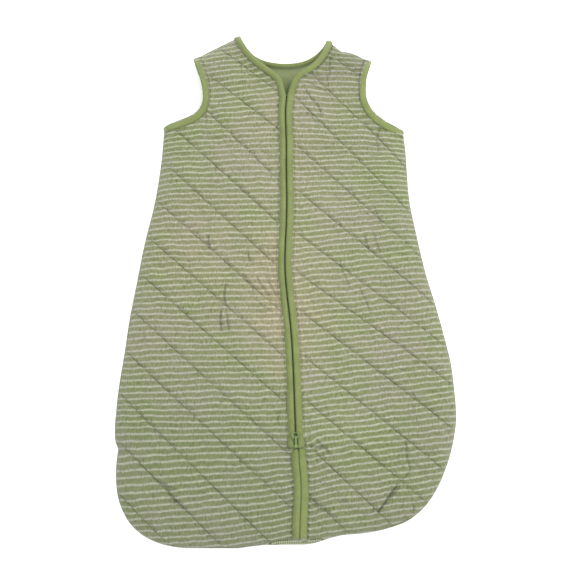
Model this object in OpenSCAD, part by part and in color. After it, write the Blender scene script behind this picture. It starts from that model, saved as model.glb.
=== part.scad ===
// Baby sleeping bag with a full-length front zip, laid flat on its back.
// X runs across the bag, +Y towards the neck and +Z up through its thickness.
// The origin lies under the middle of the bag's outer box, on the surface it rests on.
// Inside the modules Y is counted from the foot, and X from the bag's own centreline.

/* [Bag] */
// Length from the foot to the higher neck point
bag_length = 618; // [600:1:640]
// Widest half of the bag on the left
hip_left = 193.5; // [188:0.5:198]
// Widest half of the bag on the right
hip_right = 200; // [194:0.5:205]
// Height of the widest place above the foot
hip_y = 146; // [140:1:152]
// Width just under the arms
chest_w = 294; // [286:1:300]
// Width between the two shoulder tips
shoulder_w = 222; // [214:1:228]
// Width between the two neck points
neck_w = 111; // [104:1:116]
// How much lower the right-hand side lies
right_drop = 5; // [0:0.5:8]
// Depth of the back neckline below the neck points
back_neck_drop = 36; // [30:1:40]
// Height of the bottom of the front neck V above the foot
vee_y = 545; // [540:1:550]

/* [Layers] */
// Thickness of the outer cloth and of the lining
cloth = 1; // [0.8:0.1:1.2]
// Thickness of the wadding in each panel
wadding = 6; // [5:0.5:7]
// Height of the space inside the bag as it lies
cavity = 11; // [9:0.5:14]
// Width of the folded binding on every edge
binding_w = 8; // [7:0.5:8.5]
// Distance between two rows of quilting, across the rows
quilt_gap = 37; // [30:1:45]
// Angle of the quilting below the horizontal
quilt_angle = 41; // [36:1:46]

/* [Zip] */
// Distance of the zip's lower end from the bag's centreline
zip_foot_x = 18.5; // [16:0.5:20]
// Lean of the zip to the left as it rises, in degrees
zip_lean = 2; // [1.5:0.1:2.3]
// Distance from one tooth to the next on the same tape
tooth_pitch = 3; // [2.8:0.1:3.2]
// Height of the slider's middle above the foot
slider_y = 121; // [60:1:460]
// Width of the slider across its shoulders
slider_w = 10.5; // [10:0.1:11]
// Length of the slider along the zip
slider_l = 13; // [12.5:0.1:14]
// Length of the pull tab from its bar to its tip
tab_l = 11; // [10:0.5:16]

/* [Hidden] */
$fn = 32;

outer_colour = [0.60, 0.62, 0.48];
lining_colour = [0.55, 0.60, 0.42];
binding_colour = [0.58, 0.64, 0.41];
wadding_colour = [0.95, 0.95, 0.92];
zip_colour = [0.52, 0.58, 0.36];
thread_colour = [0.66, 0.70, 0.50];

LEFT = 0;
RIGHT = 1;
far = 400;
curve_steps = 10;

// Heights through the bag
back_top = 2 * cloth + wadding;
front_low = back_top + cavity;
front_top = front_low + 2 * cloth + wadding;
seam_z = front_top / 2;
thread_h = 0.3;
quilt_margin = 5;

// Places along the edges, left then right
neck_x = [-neck_w / 2, neck_w / 2];
tip_x = [-shoulder_w / 2 - 2, shoulder_w / 2 - 2];
under_x = [-chest_w / 2, chest_w / 2];
side_drop = [0, right_drop];
neck_y = bag_length;
tip_y = bag_length - 30;
arm_in_x = 100.5;
arm_in_y = [bag_length - 84, bag_length - 77];
under_y = bag_length - 121;
// How late each side swells towards the hip
flare_delay = [1, 1.25];

// Where the round corners of the foot start and end
left_corner = [[-hip_left + 3, 76], [-188, 32], [-160, 4], [-111, 0]];
right_corner = [[hip_right, hip_y], [197, 110], [174, 54], [140, 31]];
foot_rise = [[140, 31], [118, 19], [30, 3], [-50, 0]];

// Zip, across its own centreline, with heights through the bag
post_w = 0.8;
zip_gap = 0.9;
teeth_in = 0.7;
tape_in = 3.2;
tape_out = 14.8;
rim_in = 14;
overhang = 4.6;
tape_z = front_top - 3.3;
tape_t = 0.6;
teeth_t = 2.4;
teeth_z = tape_z + tape_t / 2 - teeth_t / 2;
overhang_z = front_top - 1.5;
chain_low = 18;
chain_high = vee_y - 12;
binding_low = 10;

// Slider and pull tab heights, measured through the bag
plate_t = 1.2;
slider_gap = 0.3;
low_plate_z = teeth_z - slider_gap - plate_t;
top_plate_z = front_top + slider_gap;
bar_r = 0.75;
fit_gap = 0.08;
bar_y = 1.5;
bar_z = top_plate_z + plate_t + fit_gap + bar_r;
bridge_w = 2.4;
bridge_t = 0.8;
bridge_reach = 1.7;
arm_gap = 0.35;
// The tab's window clears the bridge's corners as the tab swings over
tab_window = norm([bridge_reach, bar_r + fit_gap + bridge_t]) + 0.2;
tab_w = 5;
tab_t = 1;
spring_w = 1.2;

// Curves
function bezier(p, steps = curve_steps) = [
    for (i = [0:steps])
        let (t = i / steps, s = 1 - t)
            s * s * s * p[0] + 3 * s * s * t * p[1] + 3 * s * t * t * p[2] + t * t * t * p[3]
];
function reverse(p) = [for (i = [len(p) - 1:-1:0]) p[i]];
function but_last(p) = [for (i = [0:len(p) - 2]) p[i]];
function tangent(p, i) =
    let (a = p[max(i - 1, 0)], b = p[min(i + 1, len(p) - 1)]) (b - a) / norm(b - a);
// A copy of the path, moved to its left by d
function beside(p, d) = [
    for (i = [0:len(p) - 1])
        let (t = tangent(p, i)) p[i] + d * [-t[1], t[0]]
];
// The same for a closed loop
function beside_loop(p, d) = [
    for (i = [0:len(p) - 1])
        let (a = p[(i + len(p) - 1) % len(p)], b = p[(i + 1) % len(p)])
            p[i] + d * [a[1] - b[1], b[0] - a[0]] / norm(b - a)
];
function smooth(t) = t * t * (3 - 2 * t);

// The side of the bag, from the underarm down to the hip
function side_path(side) = [
    for (i = [0:2 * curve_steps])
        let (t = i / (2 * curve_steps), top = under_y - side_drop[side])
        let (hip = side == LEFT ? -hip_left : hip_right)
            [
                under_x[side] + (hip - under_x[side]) * smooth(pow(t, flare_delay[side])),
                top + (hip_y - top) * t
            ]
];
function neck_point(side) = [neck_x[side], neck_y - 1.3 * side_drop[side]];
function tip_point(side) = [tip_x[side], tip_y - 0.7 * side_drop[side]];

// The armhole's edge, from the shoulder tip down to the underarm
function armhole_path(side) =
    let (m = side == LEFT ? -1 : 1, tip = tip_point(side))
    let (waist = [m * arm_in_x, arm_in_y[side]])
    let (low = [under_x[side], under_y - side_drop[side]])
        concat(
            bezier([tip, tip + [-6 * m, -17], waist + [0.3 * m, 20], waist]),
            bezier([waist, waist + [-0.5 * m, -25], low + [-24 * m, 12], low])
        );

// The whole edge of the bag, with the armholes and the neck left filled in
edge = concat(
    [neck_point(LEFT), tip_point(LEFT)],
    side_path(LEFT),
    bezier(left_corner),
    [[foot_rise[3][0] - 30, 0]],
    but_last(reverse(bezier(foot_rise))),
    but_last(reverse(bezier(right_corner))),
    reverse(side_path(RIGHT)),
    [tip_point(RIGHT), neck_point(RIGHT)]
);

// Necklines, from the left neck point to the right one or to the zip
back_neck_path = concat(
    bezier([
        neck_point(LEFT), neck_point(LEFT) + [9, -22],
        [-32, neck_y - back_neck_drop], [2, neck_y - back_neck_drop]
    ]),
    bezier([
        [2, neck_y - back_neck_drop], [32, neck_y - back_neck_drop],
        neck_point(RIGHT) + [-9, -20], neck_point(RIGHT)
    ])
);
vee_x = zip_foot_x - vee_y * tan(zip_lean);
vee_shoulder = [[vee_x - 9, vee_y + 20], [vee_x + 8, vee_y + 20]];
front_neck_path = concat(
    bezier([
        neck_point(LEFT), neck_point(LEFT) + [9, -28],
        vee_shoulder[LEFT] + [-20, 9], vee_shoulder[LEFT]
    ]),
    [[vee_x, vee_y]],
    bezier([
        vee_shoulder[RIGHT], vee_shoulder[RIGHT] + [20, 9],
        neck_point(RIGHT) + [-7, -26], neck_point(RIGHT)
    ])
);

// Flat shapes

module in_frame() {
    translate([(hip_left - hip_right) / 2, -bag_length / 2, 0]) children();
}

module along_zip() {
    translate([zip_foot_x, 0, 0]) rotate(zip_lean) children();
}

// The whole bag's outline, drawn in by inset
module blank(inset = 0) {
    polygon(beside_loop(edge, inset));
}

// Everything outside one armhole's edge, plus a band of the given width inside it
module armhole_zone(side, band = 0) {
    m = side == LEFT ? -1 : 1;
    polygon(concat(
        [[m * far, tip_y + 60], tip_point(side) + [-14 * m, 40]],
        beside(armhole_path(side), m * -band),
        [[m * far, under_y - 40]]
    ));
}

// Everything above a neckline, plus a band of the given width below it
module neck_zone(path, band = 0) {
    polygon(concat([[-90, far * 2]], beside(path, -band), [[90, far * 2]]));
}

module zip_strip(half) {
    along_zip() translate([-half, -50]) square([2 * half, 800]);
}

// One side of the zip, from a distance of start outwards
module zip_side(side, start) {
    along_zip() translate([side == LEFT ? -far - start : start, -50]) square([far, 800]);
}

module back_shape(sides, bound) {
    difference() {
        blank(sides);
        armhole_zone(LEFT, bound);
        armhole_zone(RIGHT, bound);
        neck_zone(back_neck_path, bound);
    }
}

module front_shape(side, sides, bound, zip) {
    intersection() {
        difference() {
            blank(sides);
            armhole_zone(side, bound);
            neck_zone(front_neck_path, bound);
        }
        zip_side(side, zip);
    }
}

module layer(low, high) {
    in_frame() translate([0, 0, low]) linear_extrude(high - low) children();
}

// Seams along the shoulders, sides and foot, where nothing is bound
module seam_line() {
    difference() {
        blank();
        blank(cloth);
    }
}

// Outer cloth, wadding and lining

module back_outer() {
    color(outer_colour) {
        layer(0, cloth) back_shape(0, binding_w);
        layer(cloth, seam_z) intersection() {
            seam_line();
            back_shape(0, binding_w);
        }
    }
}

module back_wadding() {
    color(wadding_colour) layer(cloth, back_top - cloth) back_shape(cloth, cloth);
}

module back_lining() {
    color(lining_colour) layer(back_top - cloth + thread_h, back_top) {
        back_shape(cloth, binding_w);
    }
}

module front_outer(side) {
    color(outer_colour) {
        layer(front_top - cloth, front_top) {
            front_shape(side, 0, binding_w, zip_gap + binding_w);
        }
        layer(seam_z, front_top - cloth) intersection() {
            seam_line();
            front_shape(side, 0, binding_w, zip_gap + binding_w);
        }
    }
}

module front_wadding(side) {
    color(wadding_colour) {
        layer(front_low + cloth, front_top - cloth) {
            front_shape(side, cloth, cloth, rim_in + cloth);
        }
        layer(tape_z + tape_t, front_top - cloth) difference() {
            front_shape(side, cloth, binding_w, zip_gap + binding_w);
            zip_side(side, rim_in + cloth);
        }
    }
}

module front_lining(side) {
    color(lining_colour) {
        layer(front_low, front_low + cloth) front_shape(side, cloth, binding_w, rim_in);
        layer(front_low + cloth, tape_z) difference() {
            front_shape(side, cloth, binding_w, rim_in);
            zip_side(side, rim_in + cloth);
        }
    }
}

// Rows of quilting thread that run down to the right across a panel
module quilt_rows() {
    rows = 24;
    for (i = [-rows:rows]) {
        translate([0, i * quilt_gap / cos(quilt_angle)]) rotate(-quilt_angle) {
            translate([-far, -thread_h]) square([2 * far, 2 * thread_h]);
        }
    }
}

// The back's quilting stops at the wadding, so its thread lies under the lining
module quilting_thread_back() {
    color(thread_colour) layer(back_top - cloth, back_top - cloth + thread_h) intersection() {
        back_shape(quilt_margin, binding_w + cloth);
        translate([0, bag_length / 2]) quilt_rows();
    }
}

module quilting_thread_front(side) {
    color(thread_colour) layer(front_top, front_top + thread_h) intersection() {
        front_shape(side, quilt_margin, binding_w + cloth, zip_gap + binding_w + cloth);
        translate([0, bag_length / 2]) quilt_rows();
    }
}

// Bindings

// A folded tape round one panel's edge: two legs and the fold between them
module bound_edge(low, high) {
    layer(low, low + cloth) children(0);
    layer(high - cloth, high) children(0);
    layer(low + cloth, high - cloth) children(1);
}

module back_band(path_zone, band) {
    intersection() {
        back_shape(0, 0);
        if (path_zone == "neck") {
            neck_zone(back_neck_path, band);
        } else {
            armhole_zone(path_zone, band);
        }
    }
}

module front_band(path_zone, band) {
    intersection() {
        difference() {
            blank();
            armhole_zone(LEFT);
            armhole_zone(RIGHT);
            neck_zone(front_neck_path);
            zip_strip(zip_gap);
        }
        if (path_zone == "neck") {
            neck_zone(front_neck_path, band);
        } else {
            armhole_zone(path_zone, band);
        }
    }
}

// A whole binding: the back edge, the front edge and the seams that join them
module binding_ring(zone) {
    color(binding_colour) {
        bound_edge(0, back_top) {
            back_band(zone, binding_w);
            back_band(zone, cloth);
        }
        bound_edge(front_low, front_top) {
            front_band(zone, binding_w);
            front_band(zone, cloth);
        }
        layer(cloth, front_top - cloth) intersection() {
            seam_line();
            back_band(zone, binding_w);
            front_band(zone, binding_w);
        }
    }
}

module neck_binding() {
    binding_ring("neck");
}

module armhole_binding(side) {
    binding_ring(side);
}

// The zip edge's binding is sewn to the tape, and its edge hangs over the teeth
module zip_binding(side) {
    color(binding_colour) {
        layer(tape_z + tape_t, front_top) zip_binding_shape(side, overhang);
        layer(overhang_z, front_top) difference() {
            zip_binding_shape(side, zip_gap);
            zip_side(side, overhang);
        }
    }
}

module zip_binding_shape(side, start) {
    intersection() {
        difference() {
            zip_side(side, start);
            zip_side(side, zip_gap + binding_w);
            neck_zone(front_neck_path, binding_w);
        }
        along_zip() translate([-far, binding_low]) square([2 * far, 700]);
    }
}

// Zip

module zip_tape(side) {
    color(zip_colour) layer(tape_z, tape_z + tape_t) intersection() {
        difference() {
            zip_side(side, tape_in);
            zip_side(side, tape_out);
            neck_zone(front_neck_path, binding_w + cloth);
        }
        along_zip() translate([-far, binding_low]) square([2 * far, chain_high - binding_low]);
    }
}

// One moulded tooth: a block on the tape with a narrower head
module tooth() {
    body = 0.44 * tooth_pitch;
    head = 0.3 * tooth_pitch;
    linear_extrude(teeth_t) polygon([
        [tape_in, -body / 2], [1.6, -body / 2], [1.1, -head / 2], [teeth_in, -head / 2],
        [teeth_in, head / 2], [1.1, head / 2], [1.6, body / 2], [tape_in, body / 2]
    ]);
}

module zip_teeth(side) {
    shift = side == LEFT ? 0 : tooth_pitch / 2;
    count = floor((chain_high - chain_low - 4) / tooth_pitch);
    color(zip_colour) in_frame() along_zip() for (i = [0:count - 1]) {
        translate([0, chain_low + 2 + shift + i * tooth_pitch, teeth_z]) {
            mirror([side == LEFT ? 1 : 0, 0, 0]) tooth();
        }
    }
}

module zip_top_stops() {
    stop_l = 3;
    color(zip_colour) in_frame() along_zip() for (m = [0, 1]) {
        mirror([m, 0, 0]) translate([tape_in - 1.6, chain_high - stop_l - 0.4, tape_z + tape_t]) {
            cube([2.6, stop_l, overhang_z - tape_z - tape_t - 0.1]);
        }
    }
}

module zip_bottom_stop() {
    stop_w = 7;
    stop_l = 4;
    color(zip_colour) in_frame() along_zip() {
        translate([-stop_w / 2, chain_low - stop_l - 0.5, tape_z + tape_t]) {
            cube([stop_w, stop_l, overhang_z - tape_z - tape_t - 0.1]);
        }
    }
}

// Slider

module on_slider() {
    in_frame() along_zip() translate([0, slider_y, 0]) children();
}

// A plate that is wide across the shoulders and narrows towards the tail
module slider_plate(width) {
    tail_w = 0.72 * width;
    polygon([
        [-tail_w / 2, -slider_l / 2], [tail_w / 2, -slider_l / 2],
        [width / 2, slider_l / 2 - 4.5], [width / 2, slider_l / 2 - 1.5],
        [width / 2 - 1.5, slider_l / 2], [-width / 2 + 1.5, slider_l / 2],
        [-width / 2, slider_l / 2 - 1.5], [-width / 2, slider_l / 2 - 4.5]
    ]);
}

module slider_body() {
    post_l = 4;
    color(zip_colour) on_slider() difference() {
        union() {
            translate([0, 0, low_plate_z]) linear_extrude(plate_t) slider_plate(slider_w - 1.5);
            translate([0, 0, top_plate_z]) linear_extrude(plate_t) slider_plate(slider_w);
            translate([-post_w / 2, slider_l / 2 - 1 - post_l, low_plate_z]) {
                cube([post_w, post_l, top_plate_z + plate_t - low_plate_z]);
            }
        }
        // Slot for the lock spring's prong
        translate([-post_w / 2 - 0.1, -slider_l / 2 + 1.6, top_plate_z - 1]) {
            cube([post_w + 0.2, 1.2, plate_t + 2]);
        }
    }
}

// The bridge stands on the top plate and holds the pull tab's bar down
module slider_bridge() {
    top = bar_z + bar_r + fit_gap;
    low = top_plate_z + plate_t;
    color(zip_colour) on_slider() translate([-bridge_w / 2, bar_y, 0]) {
        translate([0, -bridge_reach, top]) cube([bridge_w, 2 * bridge_reach, bridge_t]);
        for (end = [-bridge_reach, bridge_reach - bridge_t]) {
            translate([0, end, low]) cube([bridge_w, bridge_t, top - low]);
        }
    }
}

// A leaf that lies along the top plate behind the bridge, with a prong that drops between the teeth
module slider_lock_spring() {
    leaf_t = 0.3;
    leaf_l = 4.6;
    low = top_plate_z + plate_t;
    prong_w = post_w - 0.1;
    color([0.75, 0.76, 0.72]) on_slider() {
        translate([-spring_w / 2, bar_y - bridge_reach - leaf_l, low]) {
            cube([spring_w, leaf_l, leaf_t]);
        }
        translate([-prong_w / 2, -slider_l / 2 + 1.75, top_plate_z - 0.8]) {
            cube([prong_w, 0.9, plate_t + 0.8]);
        }
    }
}

// The tab hangs from a round bar that passes under the bridge
module pull_tab() {
    window_w = bridge_w + 2 * arm_gap;
    color(zip_colour) on_slider() translate([0, bar_y, bar_z]) {
        translate([-tab_w / 2, 0, 0]) rotate([0, 90, 0]) cylinder(r = bar_r, h = tab_w);
        difference() {
            translate([0, 0, -tab_t / 2]) linear_extrude(tab_t) union() {
                translate([-tab_w / 2, -tab_l + tab_w / 2]) square([tab_w, tab_l - tab_w / 2]);
                translate([0, -tab_l + tab_w / 2]) circle(d = tab_w);
            }
            translate([-window_w / 2, -tab_window, -tab_t]) {
                cube([window_w, 2 * tab_window, 2 * tab_t]);
            }
            // Finger dimple through the tab's round end
            translate([0, -tab_l + tab_w / 2, -tab_t]) cylinder(r = 0.9, h = 2 * tab_t);
        }
    }
}

// Foot seam and label

// The overlocked end of the foot seam, which closes the front below the zip
module foot_seam() {
    color(thread_colour) {
        layer(seam_z, front_top) intersection() {
            seam_line();
            zip_strip(zip_gap + binding_w);
            translate([-far, -10]) square([2 * far, 60]);
        }
        layer(front_top, front_top + 0.6) intersection() {
            difference() {
                blank();
                blank(4);
            }
            translate([-3, -10]) square([51, 40]);
        }
    }
}

// A blank label, sewn flat on the lining beside the left-hand seam
module care_label() {
    label_w = 20;
    label_l = 32;
    color([0.95, 0.95, 0.93]) layer(back_top, back_top + 0.3) {
        translate([-chest_w / 2 - 12, 330]) square([label_w, label_l]);
    }
}

back_outer();
back_wadding();
back_lining();
front_outer(LEFT);  // front_left_outer
front_wadding(LEFT);  // front_left_wadding
front_lining(LEFT);  // front_left_lining
front_outer(RIGHT);  // front_right_outer
front_wadding(RIGHT);  // front_right_wadding
front_lining(RIGHT);  // front_right_lining
quilting_thread_back();
quilting_thread_front(LEFT);  // quilting_thread_left
quilting_thread_front(RIGHT);  // quilting_thread_right
neck_binding();
armhole_binding(LEFT);  // armhole_binding_left
armhole_binding(RIGHT);  // armhole_binding_right
zip_binding(LEFT);  // zip_binding_left
zip_binding(RIGHT);  // zip_binding_right
zip_tape(LEFT);  // zip_tape_left
zip_tape(RIGHT);  // zip_tape_right
zip_teeth(LEFT);  // zip_teeth_left
zip_teeth(RIGHT);  // zip_teeth_right
zip_top_stops();
zip_bottom_stop();
slider_body();
slider_bridge();
slider_lock_spring();
pull_tab();
foot_seam();
care_label();
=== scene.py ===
"""Looks of the quilted baby sleeping bag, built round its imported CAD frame.

Coordinates inside the functions are the bag's own, in mm: x from its centreline, y from
its foot and z from the floor. to_frame() moves them to the shared frame, in metres.
"""
import math

import bpy
import numpy as np
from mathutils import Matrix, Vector
from mathutils.bvhtree import BVHTree


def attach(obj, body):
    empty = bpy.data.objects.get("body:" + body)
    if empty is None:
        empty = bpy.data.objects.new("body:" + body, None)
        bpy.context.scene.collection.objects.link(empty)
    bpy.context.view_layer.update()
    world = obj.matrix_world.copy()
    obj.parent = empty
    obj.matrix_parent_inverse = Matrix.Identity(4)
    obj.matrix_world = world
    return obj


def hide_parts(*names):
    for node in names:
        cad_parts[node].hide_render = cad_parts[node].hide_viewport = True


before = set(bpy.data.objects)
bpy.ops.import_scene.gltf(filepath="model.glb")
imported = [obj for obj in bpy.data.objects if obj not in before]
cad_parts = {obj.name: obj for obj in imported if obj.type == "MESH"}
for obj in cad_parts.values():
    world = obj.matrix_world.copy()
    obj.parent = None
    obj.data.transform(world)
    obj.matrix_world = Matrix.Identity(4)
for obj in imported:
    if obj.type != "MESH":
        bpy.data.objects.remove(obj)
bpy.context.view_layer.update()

MM = 0.001
LEFT, RIGHT = 0, 1
NAME, SIGN = ("left", "right"), (-1, 1)

# ---- sizes of the bag
BAG_LENGTH = 618
HIP, HIP_Y = (193.5, 200), 146
CHEST_HALF = 147
UNDER_Y = (497, 492)
FLARE_DELAY = (1.0, 1.25)
NECK_POINT = ((-55.0, 617.5), (53.8, 611.8))
TIP_POINT = ((-112.8, 586.3), (109.3, 583))
ARM_IN = ((-98.5, 534), (100.5, 541))
BACK_NECK_Y = 585.7
ZIP_FOOT_X, ZIP_LEAN = 18.5, math.radians(2)
VEE_Y = 534.5
TUCK_Y, SLIDER_Y, BINDING_END_Y = 111, 121, 12.2
ORIGIN_SHIFT = ((HIP[LEFT] - HIP[RIGHT]) / 2, -BAG_LENGTH / 2)

# Heights and thicknesses of the layers as the bag lies, and how its sides round over
SEAM_Z, CROWN_Z = 12, 23.6
BINDING_MID_Z, BACK_MID_Z = 25.1, 2.4
PAD_T, EDGE_T, LINING_T = 6.5, 1.9, 0.5
SIDE_ROUND, FOOT_ROUND = 46, 20
LEAN = math.tan(math.radians(10))

# Bindings, the gap between them, stripes, and the steps of curves and grids
BINDING_W, BINDING_H = 8.4, 3.6
ZIP_GAP = 0.95
STRIPE_PITCH = 6.9
CURVE_STEPS, GRID_STEP = 24, 4

# Cloth simulation of the outer panels
SIM_STEP, SIM_FRAMES = 3, 14
SIM_MASS, SIM_TENSION, SIM_SHEAR, SIM_BEND = 0.05, 15, 5, 0.004
SIM_EASE, SIM_PRESSURE, SIM_CAP = 0.024, 1.4, 1.2


def set_all(thing, **values):
    """Sets several properties of one thing."""
    for key, value in values.items():
        setattr(thing, key, value)


def to_frame(points):
    """Moves plan points (x, y) or (x, y, z) to the shared frame."""
    moved = np.array(points, dtype=float)
    moved[..., :2] += ORIGIN_SHIFT
    return moved * MM


def smooth(t):
    t = np.clip(t, 0, 1)
    return t * t * (3 - 2 * t)


def bump(value, centre, width):
    """A soft hill of height 1 at the centre."""
    return np.exp(-((value - centre) / width) ** 2)


def waves(x, y, scale, seed, count=14):
    """Seeded, smooth irregularity of about -1 to 1, with features of the given size."""
    rng = np.random.RandomState(seed)
    total = np.zeros_like(x, dtype=float)
    for _ in range(count):
        angle = rng.uniform(0, 2 * math.pi)
        size = scale * rng.uniform(0.7, 1.6)
        phase = rng.uniform(0, 2 * math.pi)
        total += np.sin(2 * math.pi * (x * math.cos(angle) + y * math.sin(angle)) / size + phase)
    return total / math.sqrt(count) / 1.4


# ---- outline of the bag
def join(*parts):
    """Joins paths end to end and drops repeated points."""
    path = [np.array(parts[0][0], dtype=float)]
    for part in parts:
        for point in np.atleast_2d(np.array(part, dtype=float)):
            if np.linalg.norm(point - path[-1]) > MM:
                path.append(point)
    return np.array(path)


def curve(*points, steps=CURVE_STEPS):
    """Cubic curves end to end through every third point."""
    t = np.linspace(0, 1, steps + 1)[:, None]
    s = 1 - t
    p = np.array(points, dtype=float)
    return join(*(s ** 3 * a + 3 * s * s * t * b + 3 * s * t * t * c + t ** 3 * d
                  for a, b, c, d in zip(p[:-1:3], p[1::3], p[2::3], p[3::3])))


def shift(point, dx, dy):
    return (point[0] + dx, point[1] + dy)


def zip_sway(y, below_tuck=None):
    """How far the laid zip wanders from its straight line; it steps aside below the tuck."""
    if below_tuck is None:
        below_tuck = smooth((TUCK_Y + 2 - y) / 4)
    above = 1.3 * smooth((y - 430) / 50) + 4.6 * np.clip((y - 475) / 70, 0, 1) ** 2
    below = (3.9 * bump(y, 70, 40) + bump(y, 107, 10)) * below_tuck
    return above - bump(y, 515, 20) + below - 5.6 * bump(y, 316, 58)


def zip_x(y, below_tuck=None):
    return ZIP_FOOT_X - y * math.tan(ZIP_LEAN) + zip_sway(y, below_tuck)


def zip_gap(y):
    """Half the gap between the two bindings: they close up below the slider."""
    return ZIP_GAP * (1 - 0.72 * smooth((TUCK_Y + 2 - y) / 7))


def side_path(side):
    """From the underarm down to the widest place."""
    t = np.linspace(0, 1, 2 * CURVE_STEPS)
    under = SIGN[side] * CHEST_HALF
    x = under + (SIGN[side] * HIP[side] - under) * smooth(t ** FLARE_DELAY[side])
    y = UNDER_Y[side] + (HIP_Y - UNDER_Y[side]) * t
    if side == LEFT:
        x += 2.6 * bump(y, 215, 50) - 1.8 * bump(y, 350, 30)
    else:
        away = smooth((y - 165) / 50) * smooth((495 - y) / 30)
        x += (2.0 - 1.2 * bump(y, 400, 30) - bump(y, 325, 30)) * away
    return np.stack([x, y], 1)


def armhole_path(side):
    """From the shoulder tip down to the underarm."""
    m = SIGN[side]
    tip, waist, low = TIP_POINT[side], ARM_IN[side], (m * CHEST_HALF, UNDER_Y[side])
    return curve(tip, shift(tip, -6 * m, -17), shift(waist, 0.3 * m, 20), waist,
                 shift(waist, 0.5 * m, -27), shift(low, -29 * m, 9), low)


def shoulder_path(side):
    """From the neck point out to the tip; the right one dips beside the neck."""
    t = np.linspace(0, 1, 17)[:, None]
    line = (1 - t) * np.array(NECK_POINT[side]) + t * np.array(TIP_POINT[side])
    if side == RIGHT:
        line[:, 1] -= 4.8 * bump(t[:, 0], 0.32, 0.15)
        line[0] = NECK_POINT[side]
    return line


# From the widest place round the foot's corners; the left one has a notch at its side
LEFT_CORNER = join(
    curve((-HIP[LEFT], HIP_Y), (-194, 138), (-193.3, 128), (-193.3, 122), (-192.4, 112),
          (-189.4, 114), (-189.2, 109), (-189.2, 103), (-190.4, 99), (-190.6, 92), steps=8),
    curve((-190.6, 92), (-192.5, 30), (-162, 4), (-111, 0)))
RIGHT_CORNER = curve((HIP[RIGHT], HIP_Y), (197, 110), (179, 51), (143, 31))
FOOT = curve((140, 31), (120, 21), (95, 15.5), (72, 14.7), (52, 14), (41, 5), (22, 4.7),
             (2, 4.4), (-20, 5.2), (-50, 0))
BACK_NECK = curve(NECK_POINT[LEFT], shift(NECK_POINT[LEFT], 8.5, -17), (-32, BACK_NECK_Y),
                  (3, BACK_NECK_Y), (30, BACK_NECK_Y), shift(NECK_POINT[RIGHT], -8.5, -14),
                  NECK_POINT[RIGHT])
# Where each front edge turns from the zip into the neckline, and its four handles
VEE = [((-3.8, 557.3), (-0.4, 6), (3.2, -7), (-15, 15), (9.5, -34)),
       ((14.1, 560.4), (0.4, 8), (-3.4, -5), (6, 8.5), (-8, -41))]


def foot_y(x):
    """Height of the foot's outline at x."""
    return np.interp(x, *FOOT[np.argsort(FOOT[:, 0])].T)


def front_edge(side):
    """The zip edge and the front neckline as one path, from the foot to the neck point."""
    y = np.linspace(foot_y(ZIP_FOOT_X + SIGN[side] * ZIP_GAP), VEE_Y - 4, 170)
    straight = np.stack([zip_x(y) + SIGN[side] * zip_gap(y), y], 1)
    top, neck = straight[-1], NECK_POINT[side]
    turn, *handles = VEE[side]
    ends = [shift(point, *handle) for point, handle in zip((top, turn, turn, neck), handles)]
    return join(straight, curve(top, *ends[:2], turn, steps=12), curve(turn, *ends[2:], neck))


def unit(vectors):
    """The same directions at length 1."""
    return vectors / (np.linalg.norm(vectors, axis=-1, keepdims=True) + 1e-12)


def length_along(path):
    """How far along a path each of its points is."""
    steps = np.linalg.norm(np.diff(path, axis=0), axis=1)
    return np.concatenate([[0], np.cumsum(steps)])


def cut_at(path, distance):
    """Splits a path at a distance before its end."""
    along = length_along(path)
    distance = along[-1] - distance
    at = np.array([np.interp(distance, along, path[:, k]) for k in (0, 1)])
    k = int(np.searchsorted(along, distance))
    return np.vstack([path[:k], at]), np.vstack([at, path[k:]])


CORNER_SIDE, CORNER_FOOT = cut_at(LEFT_CORNER, 62)
SHOULDER, ARMHOLES, FRONT_EDGE = ([path(side) for side in (LEFT, RIGHT)]
                                  for path in (shoulder_path, armhole_path, front_edge))
SIDE_EDGE = [join(corner[::-1], side_path(side)[::-1], ARMHOLES[side][::-1])
             for side, corner in ((LEFT, CORNER_SIDE), (RIGHT, RIGHT_CORNER))]
FOOT_EDGE = [
    join(FRONT_EDGE[LEFT][:1], FOOT[FOOT[:, 0] < FRONT_EDGE[LEFT][0, 0]], CORNER_FOOT[::-1]),
    join(FRONT_EDGE[RIGHT][:1], FOOT[FOOT[:, 0] > FRONT_EDGE[RIGHT][0, 0]][::-1])]
BACK_FOOT = join(CORNER_FOOT, FOOT[::-1])
SEAM_LINES = SHOULDER + [join(side_path(LEFT), LEFT_CORNER, FOOT[::-1], RIGHT_CORNER[::-1],
                              side_path(RIGHT)[::-1])]


def resample(path, count, across=1.0):
    """Even points along a path, where steps across the bag may count for less."""
    delta = np.diff(path, axis=0)
    weight = np.sqrt((across * delta[:, 0]) ** 2 + delta[:, 1] ** 2) + 1e-6
    along = np.concatenate([[0], np.cumsum(weight)]) / weight.sum()
    t = np.linspace(0, 1, count)
    return np.stack([np.interp(t, along, path[:, k]) for k in (0, 1)], 1)


def even(path, gap):
    """The same path in even steps of about the gap."""
    return resample(path, max(3, int(round(length_along(path)[-1] / gap)) + 1))


def patch(bottom, top, inner, outer, columns, rows):
    """A grid of plan points between four edges; inner and outer run from bottom to top."""
    low, high = resample(bottom, columns), resample(top, columns)
    near, far = resample(inner, rows, 0.45), resample(outer, rows, 0.45)
    u = np.linspace(0, 1, columns)[None, :, None]
    v = np.linspace(0, 1, rows)[:, None, None]
    ruled = (1 - v) * low[None] + v * high[None] + (1 - u) * near[:, None] + u * far[:, None]
    corners = ((1 - u) * (1 - v) * low[0] + u * (1 - v) * low[-1]
               + (1 - u) * v * high[0] + u * v * high[-1])
    return ruled - corners


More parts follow.
